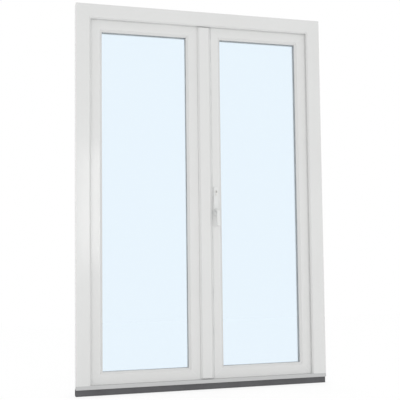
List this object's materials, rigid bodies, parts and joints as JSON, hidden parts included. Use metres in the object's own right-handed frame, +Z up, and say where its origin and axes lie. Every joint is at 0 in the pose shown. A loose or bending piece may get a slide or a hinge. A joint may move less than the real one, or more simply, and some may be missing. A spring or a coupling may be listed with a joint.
{
  "type": "balcony door",
  "caption": "White plastic balcony door with double glazed leaves that swing inwards, a false mullion, a lever handle and a low aluminium threshold on a dark base.",
  "frame": {"origin": "centre of the base's underside, halfway through the depth of the frame", "axes": "+X to the right as seen from outdoors, +Y into the room, +Z up"},
  "size_m": [1.4, 0.191, 2.1],
  "materials": {
    "white_plastic": "satin white plastic",
    "threshold_aluminium": "silver anodised",
    "base_plastic": "dark grey",
    "rubber": "light grey rubber",
    "soft_lip": "light grey soft lip",
    "glass": "clear, pale blue",
    "spacer": "satin aluminium",
    "white_metal": "white powder coat",
    "steel": "brushed",
    "nickel": "satin nickel"
  },
  "bodies": {
    "frame": {"frame_gasket": "soft_lip", "head": "white_plastic", "left_frame_hinges": "white_metal", "left_jamb": "white_plastic", "left_threshold_connector": "white_plastic", "right_frame_hinges": "white_metal", "right_jamb": "white_plastic", "right_threshold_connector": "white_plastic", "threshold": "threshold_aluminium", "threshold_base": "base_plastic"},
    "left_leaf": {"false_mullion": "white_plastic", "false_mullion_caps": "white_plastic", "left_leaf_bottom_rail": "white_plastic", "left_leaf_bottom_seal": "rubber", "left_leaf_glazing_beads": "white_plastic", "left_leaf_hinge_stile": "white_plastic", "left_leaf_hinges": "white_metal", "left_leaf_inner_gasket": "rubber", "left_leaf_inner_pane": "glass", "left_leaf_meeting_stile": "white_plastic", "left_leaf_outer_gasket": "rubber", "left_leaf_outer_pane": "glass", "left_leaf_spacer": "spacer", "left_leaf_top_rail": "white_plastic", "meeting_seal": "soft_lip", "mullion_keeps": "steel"},
    "right_leaf": {"inner_handle_plate": "white_metal", "lock_cylinder": "nickel", "lock_faceplate": "steel", "outer_handle_plate": "white_metal", "right_leaf_bottom_rail": "white_plastic", "right_leaf_bottom_seal": "rubber", "right_leaf_glazing_beads": "white_plastic", "right_leaf_hinge_stile": "white_plastic", "right_leaf_hinges": "white_metal", "right_leaf_inner_gasket": "rubber", "right_leaf_inner_pane": "glass", "right_leaf_meeting_stile": "white_plastic", "right_leaf_outer_gasket": "rubber", "right_leaf_outer_pane": "glass", "right_leaf_spacer": "spacer", "right_leaf_top_rail": "white_plastic"},
    "handle": {"inner_lever": "white_metal", "outer_lever": "white_metal", "spindle": "steel"}
  },
  "joints": [
    {"name": "left_leaf_swing", "type": "hinge", "parent": "frame", "child": "left_leaf", "pos_m": [-0.662, 0.047, 0.14], "axis": [0, 0, 1], "range_deg": [0, 100]},
    {"name": "right_leaf_swing", "type": "hinge", "parent": "frame", "child": "right_leaf", "pos_m": [0.662, 0.047, 0.14], "axis": [0, 0, -1], "range_deg": [0, 100]},
    {"name": "handle_turn", "type": "hinge", "parent": "right_leaf", "child": "handle", "pos_m": [0.0715, -0.017, 0.984], "axis": [0, -1, 0], "range_deg": [0, 90]}
  ]
}
